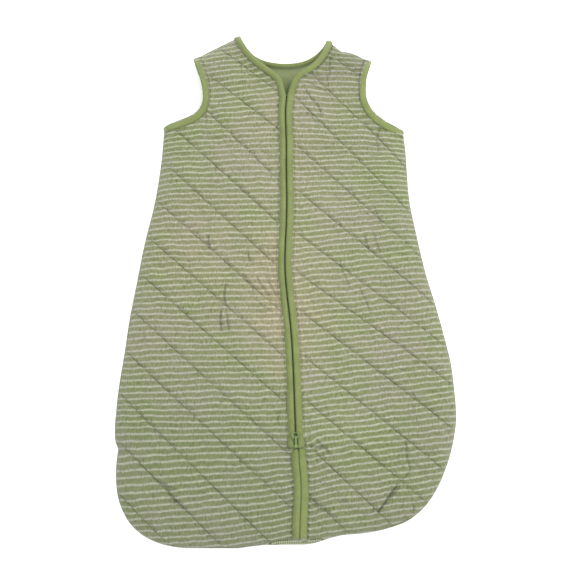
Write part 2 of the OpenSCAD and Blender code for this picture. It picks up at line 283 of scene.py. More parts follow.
def distance_to(points, path):
    """Distance from each plan point to a path."""
    best = np.full(points.shape[:-1], 1e9)
    for a, b in zip(path[:-1], path[1:]):
        ab = b - a
        t = np.clip(((points - a) @ ab) / (ab @ ab + 1e-12), 0, 1)
        away = points - (a + t[..., None] * ab)
        best = np.minimum(best, np.einsum("...i,...i->...", away, away))
    return np.sqrt(best)


def upsample(coarse, step):
    """Fills a coarse grid in with smooth curves, step cells for each of its own."""
    for axis in (0, 1):
        count = coarse.shape[axis]
        at = np.arange((count - 1) * step + 1) / step
        low = np.minimum(at.astype(int), count - 2)
        shape = [1] * coarse.ndim
        shape[axis] = len(at)
        t = (at - low).reshape(shape)
        p = [np.take(coarse, np.clip(low + k, 0, count - 1), axis=axis) for k in (-1, 0, 1, 2)]
        coarse = p[1] + 0.5 * t * (p[2] - p[0] + t * (
            2 * p[0] - 5 * p[1] + 4 * p[2] - p[3] + t * (3 * (p[1] - p[2]) + p[3] - p[0])))
    return coarse


def nearest(points, lines):
    """Distance from each plan point to the nearest of some lines, thinned to be quick."""
    thinned = [resample(line, max(2, int(length_along(line)[-1] / 4) + 1)) for line in lines]
    return np.min([distance_to(points, line) for line in thinned], axis=0)


def grid_nearest(points, lines):
    """The same for a fine grid, from a coarse one."""
    return np.maximum(upsample(nearest(points[::GRID_STEP, ::GRID_STEP], lines), GRID_STEP), 0)


# ---- quilting and creases
# Each stitched row: where it crosses the middle of its panel, and its slope in degrees
ROWS = [
    [(647, 39), (598, 39), (551, 39), (501, 45), (442.5, 43), (389, 43), (336.5, 42),
     (285.5, 41.3), (234, 41.3), (181.5, 42), (126.5, 42.5), (69.5, 43.5), (14.5, 44), (-42, 44)],
    [(620, 40), (562, 40), (505, 46), (452.5, 46.5), (401, 43), (351, 40.4), (303.5, 38),
     (259.5, 36.2), (213, 37.8), (161, 39), (110.5, 40), (56, 43), (2, 43), (-50, 43)]]
ROW_MIDDLE = (-80, 90)
ROW_GAP = 52
ROW_SLOPE = math.radians(40)


def quilt_row(points, side):
    """The row number at each point of a front: the stitched lines are where it is whole."""
    x, y = points[..., 0, None] - ROW_MIDDLE[side], points[..., 1, None]
    height, slope = np.array(ROWS[side]).T
    ahead = height - np.tan(np.radians(slope)) * x - y
    k = np.clip((ahead > 0).sum(-1, keepdims=True) - 1, 0, len(height) - 2)
    here, after = np.take_along_axis(ahead, k, -1), np.take_along_axis(ahead, k + 1, -1)
    return (k + here / (here - after))[..., 0]


def back_row(points):
    """The same for the back, where the rows are straighter."""
    slope = np.tan(np.radians(40.3 + 1.6 * smooth((points[..., 1] - 400) / 120)))
    fall = (543.5 - points[..., 1] - slope * points[..., 0]) / 54.5
    return fall - 0.15 * np.sin(math.pi * np.clip(fall, 0, 6.3) / 6.3)


CREASE_DROP = 2.5
# Creases pressed into the cloth: the path, its depth and its half-width
CREASES = [
    ([(-88, 363), (-89, 355), (-88, 344)], 1.1, 1.2),
    ([(-68, 303), (-69, 288), (-67, 276)], 1.3, 1.2),
    ([(-73, 272), (-73, 259), (-72, 245)], 1.3, 1.2),
    ([(-66, 272), (-65, 259), (-63, 245)], 1.0, 1.2),
    ([(-42, 342), (-41, 333), (-38, 326)], 0.9, 1.2),
    ([(-48, 316), (-41, 303), (-32, 292)], 0.8, 1.3),
    ([(-32, 312), (-25, 299), (-14, 285)], 0.9, 1.3),
    ([(-21, 312), (-14, 299), (-6, 283)], 0.9, 1.3),
    ([(-67, 335), (-63, 321)], 0.7, 1.2),
    ([(-38, 288), (-24, 276), (-10, 268)], 0.6, 1.4),
    ([(66, 330), (72, 312), (78, 296)], 0.6, 1.4),
    ([(96, 362), (99, 350), (101, 342)], 0.9, 1.2),
    ([(106, 368), (110, 352), (116, 336)], 0.8, 1.3),
    ([(88, 300), (97, 280), (102, 268)], 0.8, 1.2),
    ([(108, 398), (112, 384), (118, 370)], 0.7, 1.3),
    ([(-4, 156), (-6, 146), (-5, 136)], 0.7, 1.8),
    ([(28, 116), (40, 114), (54, 117)], 0.8, 1.8),
    ([(36, 124), (44, 116), (56, 104)], 0.9, 1.6),
    ([(26, 66), (33, 56), (42, 48)], 1.0, 1.4),
    ([(33, 52), (42, 46), (54, 40)], 0.7, 1.4),
    ([(138, 128), (141, 98), (145, 89), (132, 76)], 0.9, 1.2),
    ([(130, 75), (119, 59), (104, 40)], 1.9, 1.4),
    ([(133, 73), (124, 62), (117, 52)], 0.8, 1.1),
    ([(147, 50), (146, 38)], 0.8, 1.4),
    ([(-193, 112), (-185, 111), (-174, 110)], 0.6, 1.6),
    ([(-145, 79), (-131, 70), (-124, 57), (-110, 47)], 0.9, 1.7),
    ([(-137, 76), (-126, 70), (-117, 65)], 0.7, 1.5),
    ([(-148, 30), (-143, 23)], 0.8, 1.4),
    ([(24, 548), (34, 532), (44, 522), (46, 508)], 0.9, 1.5),
    ([(26, 556), (44, 545), (62, 540)], 0.7, 1.6),
    ([(58, 588), (56, 568), (52, 552)], 0.6, 1.4),
    ([(118, 500), (112, 478), (116, 460)], 0.6, 1.6),
    ([(-98, 568), (-92, 540), (-96, 512), (-92, 500)], 0.7, 1.3),
]


def creases(points):
    """Depth of the pressed creases at each point."""
    depth = np.zeros(points.shape[:-1])
    for path, deep, half in CREASES:
        line = resample(np.array(path, dtype=float) - (0, CREASE_DROP), 12)
        near = ((points > line.min(0) - 3 * half) & (points < line.max(0) + 3 * half)).all(-1)
        if near.any():
            spots = points[near]
            ends = [np.linalg.norm(spots - line[k], axis=-1) for k in (0, -1)]
            fade = np.minimum(*ends) / (0.3 * length_along(line)[-1])
            depth[near] += deep * bump(distance_to(spots, line), 0, half) * smooth(0.25 + fade)
    return depth


def round_size(points):
    """How far the cloth takes to roll over to a seam: tighter at the foot, below the zip."""
    x, y = points[..., 0], points[..., 1]
    at_foot = smooth((75 - y) / 50) * bump(x, 22, 85)
    return SIDE_ROUND + (FOOT_ROUND - SIDE_ROUND) * np.clip(1.15 * at_foot, 0, 1)


def roll(seam, size):
    """0 at a seam and 1 on the flat, along a rounded shoulder."""
    return np.sqrt(np.clip(1 - (1 - np.clip(seam / size, 0, 1)) ** 2.2, 0, 1))


class Panel:
    """One quilted panel: its grid of plan points, and what is known at each of them."""

    def __init__(self, side, columns, rows, edges, bound_edges):
        self.side = side
        self.points = patch(*edges, columns, rows)
        self.x, self.y = self.points[..., 0], self.points[..., 1]
        self.seam = grid_nearest(self.points, SEAM_LINES)
        self.bound = grid_nearest(self.points, bound_edges)
        self.row = quilt_row(self.points, side) if side is not None else back_row(self.points)
        self.off_row = np.abs(self.row - np.round(self.row)) * ROW_GAP * math.cos(ROW_SLOPE)
        self.fullness = 1 - (1 - np.clip(self.off_row / 17, 0, 1)) ** 2.2
        self.from_zip = self.x - zip_x(self.y)
        self.crease = creases(self.points)
        self.rise = roll(self.seam, round_size(self.points))
        self.inside = smooth(self.seam / 20)
        self.held_down = 1 - 0.8 * smooth(1 - self.bound / 19)
        full = smooth(np.minimum(self.bound - 4, self.seam + 3) / 18)
        self.thick = (EDGE_T + (PAD_T - EDGE_T) * full) * (0.12 + 0.88 * smooth(self.bound / 2.2))

    def beside_binding(self, size):
        """1 at the binding's sewn edge, fading away from it."""
        return np.exp(-np.maximum(self.bound - BINDING_W, 0) / size)


def settle(panel, height):
    """How the outer cloth settles over the wadding: a cloth simulation held along its seams.

    Returns the move of every point of the panel's grid.
    """
    cut = thinned(SIM_STEP)
    rows, columns = height[cut].shape
    start = to_frame(with_height(panel.points, height)[cut]).reshape(-1, 3)
    faces = grid_faces(rows, columns, 0, panel.side == LEFT)
    cloth = add_object("settling", start, faces.tolist())
    held = bump(panel.off_row, 0, 2) + (panel.seam < 5) + (panel.bound < BINDING_W + 1)
    group = cloth.vertex_groups.new(name="held")
    levels = np.round(np.clip(held, 0, 1)[cut].ravel(), 1)
    for level in np.unique(levels[levels > 0]):
        group.add(np.flatnonzero(levels == level).tolist(), float(level), "REPLACE")
    modifier = cloth.modifiers.new("cloth", "CLOTH")
    set_all(modifier.settings, quality=5, mass=SIM_MASS, tension_stiffness=SIM_TENSION,
            compression_stiffness=SIM_TENSION, shear_stiffness=SIM_SHEAR,
            bending_stiffness=SIM_BEND, shrink_min=-SIM_EASE, shrink_max=-SIM_EASE,
            use_pressure=True, uniform_pressure_force=SIM_PRESSURE, vertex_group_mass="held")
    modifier.settings.effector_weights.gravity = 0
    modifier.collision_settings.use_collision = False
    for step in range(1, SIM_FRAMES + 1):
        bpy.context.scene.frame_set(step)
    result = cloth.evaluated_get(bpy.context.evaluated_depsgraph_get())
    after = np.empty(start.size)
    result.data.vertices.foreach_get("co", after)
    bpy.data.objects.remove(cloth)
    bpy.context.scene.frame_set(1)
    move = (after - start.ravel()).reshape(rows, columns, 3) / MM
    move *= SIM_CAP / np.maximum(np.linalg.norm(move, axis=-1, keepdims=True), SIM_CAP)
    return upsample(move, SIM_STEP)


def front_surface(panel):
    """Top of a front panel: its grid of points."""
    x, y, side, bound = panel.x, panel.y, panel.side, panel.bound
    calm = panel.inside * panel.held_down
    swell = 0.7 * panel.fullness * (1 + 0.3 * waves(x, y, 60, 11 + side))
    swell += 0.5 * waves(x, y, 95, 71 + side)
    base = SEAM_Z + (CROWN_Z - SEAM_Z) * panel.rise + swell * calm
    move = settle(panel, base) * calm[..., None]
    # Cloth drawn in by the thread: small gathers that run out from each row of stitching
    along = x * math.cos(ROW_SLOPE) - y * math.sin(ROW_SLOPE)
    across = panel.row * ROW_GAP
    gather = waves(along, 0.35 * across, 9, 31 + side, 10) * np.exp(-panel.off_row / 4)
    gather *= 0.55 + 0.45 * waves(x, y, 70, 35 + side)
    detail = 0.42 * gather + 0.16 * waves(x, y, 21, 51 + side) - 0.42 * bump(panel.off_row, 0, 1)
    # Ripples beside the bindings, stronger below the tuck, and the dip along their sewn edge
    below = smooth((TUCK_Y + 6 - y) / 8) * smooth((y - 12) / 14)
    wander = y + 2.5 * waves(x, y, 45, 56 + side) + 0.12 * np.abs(panel.from_zip)
    detail += (0.18 + 0.5 * below) * panel.beside_binding(11) * np.sin(2 * math.pi * wander / 6.8)
    at_edge = 0.5 * waves(along, across, 8, 91 + side) * bump(bound, BINDING_W + 1.5, 4)
    at_edge = np.maximum(at_edge - 0.8 * bump(bound, BINDING_W + 0.4, 1.3), -0.85) * panel.inside
    hem = smooth(1 - panel.seam / 8) * bump(x, 20, 34) * smooth((50 - y) / 20)
    height = base + detail * calm + at_edge - panel.crease * panel.inside - 1.8 * hem
    folded = SEAM_Z + (BINDING_MID_Z - SEAM_Z) * panel.rise + panel.thick / 2 + at_edge
    blend = smooth(1 - (bound - BINDING_W + 1.5) / 7)
    surface = with_height(panel.points, height * (1 - blend) + folded * blend)
    return surface + move * np.array([0.6, 0.6, 1.0]) * (1 - blend)[..., None]


# ---- mesh helpers
def with_height(points, height):
    """Plan points given their heights."""
    return np.concatenate([points[..., :2], height[..., None]], -1)


def thinned(step):
    """The slices that keep one in so many of a grid's rows and columns."""
    return (slice(None, None, step),) * 2


def add_object(name, vertices, faces, material=None):
    mesh = bpy.data.meshes.new(name)
    mesh.from_pydata([tuple(v) for v in vertices], [], [tuple(f) for f in faces])
    mesh.validate()
    mesh.polygons.foreach_set("use_smooth", [True] * len(mesh.polygons))
    obj = bpy.data.objects.new(name, mesh)
    bpy.context.scene.collection.objects.link(obj)
    if material:
        mesh.materials.append(material)
    return obj


def finish_piece(obj, slot, *nodes, body="bag"):
    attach(obj, body)
    if nodes:
        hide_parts(*nodes)


def set_attribute(obj, name, values):
    vector = values.ndim == 2
    kind = "FLOAT_VECTOR" if vector else "FLOAT"
    layer = obj.data.attributes.new(name, kind, "POINT")
    layer.data.foreach_set("vector" if vector else "value", values.astype(np.float32).ravel())


def grid_faces(rows, columns, start=0, flip=False):
    j, i = np.meshgrid(np.arange(rows - 1), np.arange(columns - 1), indexing="ij")
    a = (start + j * columns + i).ravel()
    quads = np.stack([a, a + 1, a + columns + 1, a + columns], 1)
    return quads[:, ::-1] if flip else quads


def pad_faces(rows, columns, flip):
    """Faces over a top grid, under the grid that follows it, and round the rims of both."""
    count = rows * columns
    rim = np.concatenate([
        np.arange(columns), np.arange(1, rows) * columns + columns - 1,
        (rows - 1) * columns + np.arange(columns - 2, -1, -1),
        np.arange(rows - 2, 0, -1) * columns])
    after = np.roll(rim, -1)
    wall = np.stack([rim, rim + count, after + count, after], 1)
    return np.concatenate([grid_faces(rows, columns, 0, flip),
                           grid_faces(rows, columns, count, not flip),
                           wall[:, ::-1] if flip else wall])


def add_pads(name, pads, material, flip=False):
    """One object from closed pads, each (top grid, under grid) joined round their rims."""
    vertices, faces, start = [], [], 0
    for top, under in pads:
        faces.append(pad_faces(*top.shape[:2], flip) + start)
        vertices += [top.reshape(-1, 3), under.reshape(-1, 3)]
        start += 2 * len(vertices[-1])
    return add_object(name, to_frame(np.concatenate(vertices)), np.concatenate(faces).tolist(),
                      material)


def add_lining(name, points, height, flip, node):
    """A thin sheet of cloth over the given plan points and heights."""
    surface = with_height(points, height)
    obj = add_pads(name, [(surface, surface - (0, 0, LINING_T))], LINING, flip)
    finish_piece(obj, "lining_cloth", node)
    return obj


def tube_faces(rings, sides, closed=False, flip=False):
    """Faces round a run of rings of points, with a cap at each end unless it is closed."""
    faces = []
    for j in range(rings if closed else rings - 1):
        a, b = j * sides, (j + 1) % rings * sides
        for i in range(sides):
            n = (i + 1) % sides
            faces.append((a + i, a + n, b + n, b + i))
    if not closed:
        last = (rings - 1) * sides
        faces.append(tuple(range(sides - 1, -1, -1)))
        faces.append(tuple(range(last, last + sides)))
    return [face[::-1] for face in faces] if flip else faces


def add_runs(name, runs, sides, material, flip=False):
    """One object from tubes, each a run of rings of points."""
    faces, start = [], 0
    for run in runs:
        faces += [tuple(start + v for v in face)
                  for face in tube_faces(len(run) // sides, sides, flip=flip)]
        start += len(run)
    return add_object(name, to_frame(np.concatenate(runs)), faces, material)


# ---- materials
# The studio is lit so that the floor turns pure white, so cloth colours are toned down to match
TONE = 0.455


def srgb(r, g, b):
    """A colour given as it looks, turned into the shader's linear values."""
    def linear(c):
        c /= 255
        return TONE * (c / 12.92 if c <= 0.04045 else ((c + 0.055) / 1.055) ** 2.4)
    return (linear(r), linear(g), linear(b), 1.0)


def operator(name, swapped=False):
    """A method that joins a wire and another value with a math node."""
    def combine(self, other=0.0):
        return self.nodes.math(name, *((other, self) if swapped else (self, other)))
    return combine


class Wire:
    """The output of a node, which can be used in sums."""

    def __init__(self, nodes, socket):
        self.nodes, self.socket = nodes, socket

    __add__ = __radd__ = operator("ADD")
    __sub__, __rsub__ = operator("SUBTRACT"), operator("SUBTRACT", True)
    __mul__ = __rmul__ = operator("MULTIPLY")
    __truediv__ = operator("DIVIDE")
    __abs__ = operator("ABSOLUTE")


class Nodes:
    """A short way to write a node tree."""

    def __init__(self, name):
        self.material = bpy.data.materials.new(name)
        self.material.use_nodes = True
        self.tree = self.material.node_tree
        self.shader = self.tree.nodes["Principled BSDF"]

    def add(self, kind, inputs=(), output=0, **settings):
        node = self.tree.nodes.new(kind)
        set_all(node, **settings)
        for key, value in dict(inputs).items():
            self.feed(node.inputs[key], value)
        return Wire(self, node.outputs[output])

    def feed(self, socket, value):
        if isinstance(value, Wire):
            self.tree.links.new(value.socket, socket)
        else:
            socket.default_value = value

    def math(self, operation, a, b=0.0):
        return self.add("ShaderNodeMath", {0: a, 1: b}, operation=operation)

    def waves(self, value, pitch):
        return self.math("SINE", value * (2 * math.pi / pitch))

    def attribute(self, name, output="Fac"):
        return self.add("ShaderNodeAttribute", output=output, attribute_name=name)

    def place(self):
        return self.add("ShaderNodeTexCoord", output="Object")

    def split(self, vector):
        """The first two parts of a vector."""
        return [self.add("ShaderNodeSeparateXYZ", {0: vector}, output=k) for k in (0, 1)]

    def mix(self, factor, a, b, blend="MIX"):
        return self.add("ShaderNodeMix", {0: factor, 6: a, 7: b}, 2, data_type="RGBA",
                        blend_type=blend)

    def dim(self, colour, amount):
        """The colour darkened by the amount, up to 1; a negative one makes it paler."""
        left = self.math("MAXIMUM", 1.0 - amount, 0.0)
        grey = self.add("ShaderNodeCombineColor", {0: left, 1: left, 2: left})
        return self.mix(1.0, colour, grey, "MULTIPLY")

    def noise(self, vector, scale=1.0, detail=2.0, rough=0.5):
        """Noise of one scale, or of one for each direction."""
        if isinstance(scale, tuple):
            vector = self.add("ShaderNodeVectorMath", {0: vector, 1: scale}, operation="MULTIPLY")
            scale = 1.0
        return self.add("ShaderNodeTexNoise", {
            "Vector": vector, "Scale": scale, "Detail": detail, "Roughness": rough})

    def ramp(self, value, low, high, kind="LINEAR"):
        """Maps low..high to 0..1."""
        return self.add("ShaderNodeMapRange", {0: value, 1: low, 2: high},
                        interpolation_type=kind, clamp=True)

    def step(self, value, low, high):
        return self.ramp(value, low, high, "SMOOTHSTEP")

    def shade(self, **inputs):
        """Feeds the shader's own sockets, each named with _ for a space."""
        for name, value in inputs.items():
            self.feed(self.shader.inputs[name.replace("_", " ")], value)
        return self.material

    def bump(self, height, distance, strength=0.7):
        return self.add("ShaderNodeBump", {
            "Height": height, "Distance": distance * MM, "Strength": strength})

    def fabric(self, colour, normal, roughness=0.92, sheen=0.2):
        return self.shade(Base_Color=colour, Normal=normal, Roughness=roughness,
                          Specular_IOR_Level=0.12, Sheen_Weight=sheen, Sheen_Roughness=0.6)


def striped_cloth(name):
    """Jersey with narrow cream stripes on heathered green, quilted, with painted shade in its
    grooves and creases.
    """
    n = Nodes(name)
    cloth = n.attribute("cloth", "Vector")

    def noise(x, y, detail=2.0, rough=0.5):
        return n.noise(cloth, (x, y, 1), detail, rough)

    across, along = n.split(cloth)
    phase = n.math("FRACT", (noise(160, 160) * 0.0013 + along) / (STRIPE_PITCH * MM))
    fray = (noise(1400, 500) - 0.5) * 0.22
    cream_here = 1.0 - n.step(abs(phase - 0.5) + fray, 0.03, 0.235)
    # Knitting: fine columns, with flecks and short upright ticks of darker yarn
    knit = n.waves(across, 1.3 * MM) * (n.waves(along, 1.1 * MM) * 0.35 + 0.65)
    fleck = noise(1100, 480, 2.0, 0.7)
    ticks = n.ramp(noise(720, 200, 2.0, 0.6), 0.48, 0.74)
    specks = noise(410, 250, 1.0)
    # Short dark strokes, stronger near the rows: painted shade of small gathers
    strokes = n.ramp(noise(300, 105, 1.0), 0.60, 0.72)
    drift = noise(11, 15, 3.0, 0.55)
    clouds = noise(60, 130, 3.0, 0.6)
    # Below each cream stripe the heather is greyer, and it is greenest just above the next
    blush = n.attribute("blush")
    greyness = n.step(phase, 0.05, 0.42) * 0.55 - n.step(phase, 0.5, 0.95) * 0.40
    greyness = greyness + (clouds - 0.5) * 2.1 + (drift - 0.5) * 2.2 + blush * 0.6
    green = n.mix(n.ramp(greyness, -0.55, 0.95), srgb(129, 144, 84), srgb(156, 153, 124))
    cream = n.mix(n.ramp(drift, 0.35, 0.65), srgb(187, 195, 164), srgb(190, 187, 175))
    # Warmer where it is blushed, and a cooler, duller green where the blush is negative
    green = n.mix(blush * 0.60, green, srgb(172, 158, 122))
    green = n.mix(blush * -0.5, green, srgb(121, 125, 108))
    cream = n.mix(blush, cream, srgb(206, 199, 170))
    cream = n.mix(blush * -1.0, cream, srgb(177, 183, 158))
    # Stitched rows: the cloth is drawn down, with painted shade round each row and a dark line of
    # painted shade on the line itself, patchy in strength
    off_row = abs(n.math("FRACT", n.attribute("row") + 0.5) - 0.5)
    on_line = (1.0 - n.step(off_row, 0.004, 0.018)) * n.attribute("quilted")
    groove_shade_strength = n.ramp(noise(55, 55), 0.34, 0.66)
    dark = (1.0 - n.step(off_row, 0.0, 0.12)) * groove_shade_strength * 0.07
    dark = dark + strokes * ((1.0 - n.step(off_row, 0.02, 0.22)) * 0.16 + 0.11)
    # crease and shade add painted shade in creases, along the bindings and the outline, and slow
    # changes of depth
    dark = dark + (specks - 0.5) * 0.62 + n.attribute("crease") * 0.46 + n.attribute("shade")
    dark = dark + ticks * 0.34 + (0.5 - fleck) * 0.55
    colour = n.dim(n.mix(cream_here, green, cream), dark)
    colour = n.mix(on_line * (groove_shade_strength * 0.75 + 0.16), colour, srgb(52, 58, 6))
    return n.fabric(colour, n.bump(knit * 0.35 + fleck * 1.1, 0.16))


def plain_cloth(name, light, dark, grain=0.9, depth=0.1):
    """Plain jersey: a fine knit, slow changes of tone, and darker where its dim attribute holds
    painted shade.
    """
    n = Nodes(name)
    place = n.place()
    yarn = n.noise(place, 900)
    blend = n.noise(place, 42, 3.0, 0.6) * 0.55 + n.noise(place, (260, 700, 300)) * 0.45
    colour = n.mix(n.ramp(blend, 0.34, 0.66), dark, light)
    colour = n.mix(n.ramp(yarn, 0.5, 0.75) * 0.25, colour, light)
    across, along = n.split(place)
    weave = n.waves(across, grain * MM) * n.waves(along, grain * MM)
    return n.fabric(n.dim(colour, n.attribute("dim")), n.bump(weave * 0.4 + yarn, depth), 0.9)


def thread_material(name, light, dark):
    """Twisted sewing thread."""
    n = Nodes(name)
    twist = n.noise(n.place(), 1500)
    colour = n.mix(n.ramp(twist, 0.35, 0.65), dark, light)
    return n.fabric(colour, n.bump(twist, 0.05, 0.6), 0.6, 0.15)


def hard_finish(name, light, dark, coat=0.0):
    """Moulded plastic or enamelled zinc, paler along its edges, with painted shade in its hollows
    and wherever its dim attribute holds it.
    """
    n = Nodes(name)
    grain = n.noise(n.place(), 600)
    # Pointiness: paler on outer edges, and painted shade in the hollows
    pale_edges_and_hollow_shade = n.add("ShaderNodeNewGeometry", output="Pointiness")
    shade = n.noise(n.place(), 90) * 0.4 + n.ramp(pale_edges_and_hollow_shade, 0.44, 0.58)
    colour = n.dim(n.mix(n.ramp(shade, 0.2, 1.0), dark, light), n.attribute("dim"))
    return n.shade(Base_Color=colour, Roughness=grain * 0.2 + 0.32, Coat_Weight=coat,
                   Normal=n.bump(grain, 0.03, 0.5))


def spring_metal(name):
    n = Nodes(name)
    brushed = n.noise(n.place(), (300, 3000, 300))
    return n.shade(Metallic=1.0, Roughness=brushed * 0.2 + 0.25,
                   Base_Color=n.mix(brushed, srgb(150, 150, 145), srgb(190, 190, 186)))


def pale_floor(name):
    n = Nodes(name)
    colour = n.mix(n.noise(n.place(), 400), (0.95, 0.95, 0.95, 1), (0.98, 0.98, 0.98, 1))
    return n.shade(Base_Color=colour, Roughness=1.0, Specular_IOR_Level=0.0)


STRIPED = striped_cloth("striped_jersey")
BINDING = plain_cloth("green_binding", srgb(149, 163, 98), srgb(124, 139, 73))
LINING = plain_cloth("green_lining", srgb(145, 158, 107), srgb(131, 144, 91))
TAPE = plain_cloth("zip_tape_weave", srgb(110, 122, 74), srgb(88, 100, 54), 0.6, 0.12)
THREAD = thread_material("green_thread", srgb(144, 153, 96), srgb(110, 121, 66))
PALE_THREAD = thread_material("pale_thread", srgb(236, 241, 206), srgb(206, 215, 170))
TEETH = hard_finish("green_teeth", srgb(120, 136, 78), srgb(84, 98, 48))
SLIDER = hard_finish("green_enamel", srgb(138, 162, 80), srgb(76, 98, 34), 0.25)
STEEL = spring_metal("spring_steel")
LABEL = plain_cloth("label_satin", srgb(236, 236, 230), srgb(222, 222, 214), 0.5, 0.05)
FLOOR = pale_floor("pale_floor")


# ---- panels
def stripe_lift(panel):
    """How far the stripes rise above level, from how the cloth is laid."""
    x, y, away = panel.x, panel.y, panel.from_zip
    beside = np.maximum(away - BINDING_W, 0)
    if panel.side != RIGHT:
        lift = (0.010 * away + 0.085 * (x + 50) * smooth((y - 440) / 100)
                + 0.060 * away * smooth((130 - y) / 100)
                + 7 * np.exp(away / 34) * smooth((115 - y) / 50))
    else:
        lift = (away * (0.085 - 0.13 * smooth((y - 360) / 140) + 0.02 * smooth((300 - y) / 120))
                - 4 * np.exp(-beside / 20) * smooth((140 - y) / 30)
                + 2.4 * np.exp(-beside / 2.2) * smooth((112 - y) / 10)
                - 3.2 * (1 - smooth((away - 16) / 9)) * bump(y, 117, 10)
                + 1.5 * bump(away, 29, 6) * bump(y, 98, 14))
    seed = 131 + (panel.side or 0)
    below = np.sign(panel.row - np.round(panel.row))
    lift = lift + below * 0.7 * np.exp(-panel.off_row / 6) * smooth(panel.off_row / 1.5)
    return lift + 0.9 * waves(x, y, 70, seed) + 0.45 * waves(x, y, 22, seed + 20)


def cloth_shade(panel):
    """Slow changes of depth: paler down the middle, deeper at the shoulders, sides and foot, with
    a thin painted shadow along the outline.
    """
    x, y = panel.x, panel.y
    on_right = panel.side == RIGHT
    middle = smooth((y - 80) / 50) * smooth((480 - y) / 60) * bump(x, 30, 85)
    middle = middle + 1.3 * bump(x, 80, 45) * bump(y, 137, 28)
    shoulder = smooth((y - 535) / 40) * (0.045 + 0.13 * smooth(x / 50))
    near_side = 0.045 + 0.03 * smooth((y - 280) / 50) if on_right else 0.02
    # Painted shadow along the outline, stronger on the left, away from the light
    outline = bump(panel.seam, 0, 2.2) * (0.06 if on_right else 0.14)
    return (shoulder + near_side * np.exp(-panel.seam / 18) + outline
            + 0.02 * smooth((70 - y) / 30) - 0.048 * middle)


def cloth_blush(panel):
    """Where the cloth has turned warmer, beside the zip, and cooler, at the foot."""
    x, y, away = panel.x, panel.y, panel.from_zip
    blush = (bump(away, 0, 34) * bump(y, 300, 75) + 0.45 * bump(away, 0, 60) * bump(y, 250, 90)
             + 0.45 * bump(x, -100, 50) * bump(y, 340, 50)
             + 0.4 * bump(away, 0, 50) * bump(y, 500, 90))
    blush = np.clip(blush * (0.8 + 0.4 * waves(x, y, 30, 171)), 0, 1)
    warm, cool = (0.62, 0.32) if panel.side == RIGHT else (1.0, 0.55)
    return warm * blush - cool * smooth((260 - y) / 160)


def dress_panel(pad, panel, *nodes):
    """Writes the cloth's own coordinates, its rows of stitching, its painted shade and its tints
    onto the mesh.
    """
    x, y, side, bound = panel.x, panel.y, panel.side, panel.bound
    level = y - stripe_lift(panel)
    # Painted shade: a broken dark line along each binding's sewn edge
    at_binding = bump(bound, BINDING_W + 0.2, 1.3) * (0.75 + 0.4 * waves(x, y, 14, 161))
    course = np.clip(np.sin(2 * math.pi * level / STRIPE_PITCH + 1.0), 0, 1)
    # Painted shadow in the ripples beside the bindings below the tuck, in step with the stripes
    beside = (panel.beside_binding(3.2) * (side is not None) * course
              * smooth((TUCK_Y + 14 - y) / 20))
    values = {
        "row": panel.row,
        "quilted": smooth((panel.seam - 2) / 3)
                   * (1 - 0.7 * (side == RIGHT) * smooth((24 - bound) / 12))
                   * (1 - 0.8 * smooth((BINDING_W + 3.5 - bound) / 3)),
        # crease: painted shade in the pressed creases, along the bindings and in the ripples
        # beside them
        "crease": np.clip(panel.crease / 1.3 + 0.8 * at_binding
                          + (0.8 if side == RIGHT else 0.5) * beside, 0, 1.2),
        "shade": cloth_shade(panel), "blush": cloth_blush(panel)}
    place = np.stack([x, level, 0 * x], -1).reshape(-1, 3) * MM
    set_attribute(pad, "cloth", np.tile(place, (2, 1)))
    for name, value in values.items():
        set_attribute(pad, name, np.tile(value.ravel(), 2))
    finish_piece(pad, "striped_cloth", *nodes)


def build_front(side):
    name = NAME[side]
    flip = side == LEFT
    edges = (FOOT_EDGE[side], SHOULDER[side], FRONT_EDGE[side], SIDE_EDGE[side])
    panel = Panel(side, 193, 565, edges, [FRONT_EDGE[side], ARMHOLES[side]])
    top = front_surface(panel)
    under = np.maximum(top[..., 2] - panel.thick, SEAM_Z + 0.2)
    pad = add_pads("front_panel_" + name, [(top, with_height(top, under))], STRIPED, flip)
    dress_panel(pad, panel, "front_%s_outer" % name, "front_%s_wadding" % name)
    # The lining hangs a little lower beside the zip, to leave room for the tape and the slider
    drop = 0.9 + 4.0 * smooth(1 - panel.bound / 18) * panel.rise
    low = np.maximum(under - drop, SEAM_Z - 0.4)
    cut = thinned(GRID_STEP)
    add_lining("front_lining_" + name, panel.points[cut], low[cut], flip, "front_%s_lining" % name)
    return pad


def build_back():
    top_edge = join(SHOULDER[LEFT][::-1], BACK_NECK, SHOULDER[RIGHT])
    edges = (BACK_FOOT, top_edge, SIDE_EDGE[LEFT], SIDE_EDGE[RIGHT])
    panel = Panel(None, 241, 337, edges, [BACK_NECK] + ARMHOLES)
    x, y, bound = panel.x, panel.y, panel.bound
    dents = (1 - panel.fullness + 0.25 * (1 + waves(x, y, 22, 191))) * panel.inside
    blend = smooth(1 - bound / 16)
    folded = SEAM_Z + (BACK_MID_Z - SEAM_Z) * panel.rise - panel.thick / 2
    under = (SEAM_Z * (1 - panel.rise) + 0.9 * dents) * (1 - blend) + folded * blend
    top = np.minimum(under + panel.thick, np.maximum(SEAM_Z - 0.2, under + 0.3))
    pads = [(with_height(panel.points, top), with_height(panel.points, under))]
    dress_panel(add_pads("back_panel", pads, STRIPED), panel, "back_outer", "back_wadding")
    lift = 0.55 + (0.5 + 0.45 * waves(x, y, 45, 201)) * smooth((bound - 6) / 18)
    cut = thinned(GRID_STEP // 2)
    lining = add_lining("back_lining_sheet", panel.points[cut], (top + lift)[cut], False,
                        "back_lining")
    # Painted shade on the lining: a dark line under the back tape, and a little deeper near the
    # bound edges
    painted_lining_shade = 0.38 * bump(bound, 0.80 * BINDING_W, 1.4) + 0.06 * bump(bound, 0, 30)
    set_attribute(lining, "dim", np.tile(painted_lining_shade[cut].ravel(), 2))


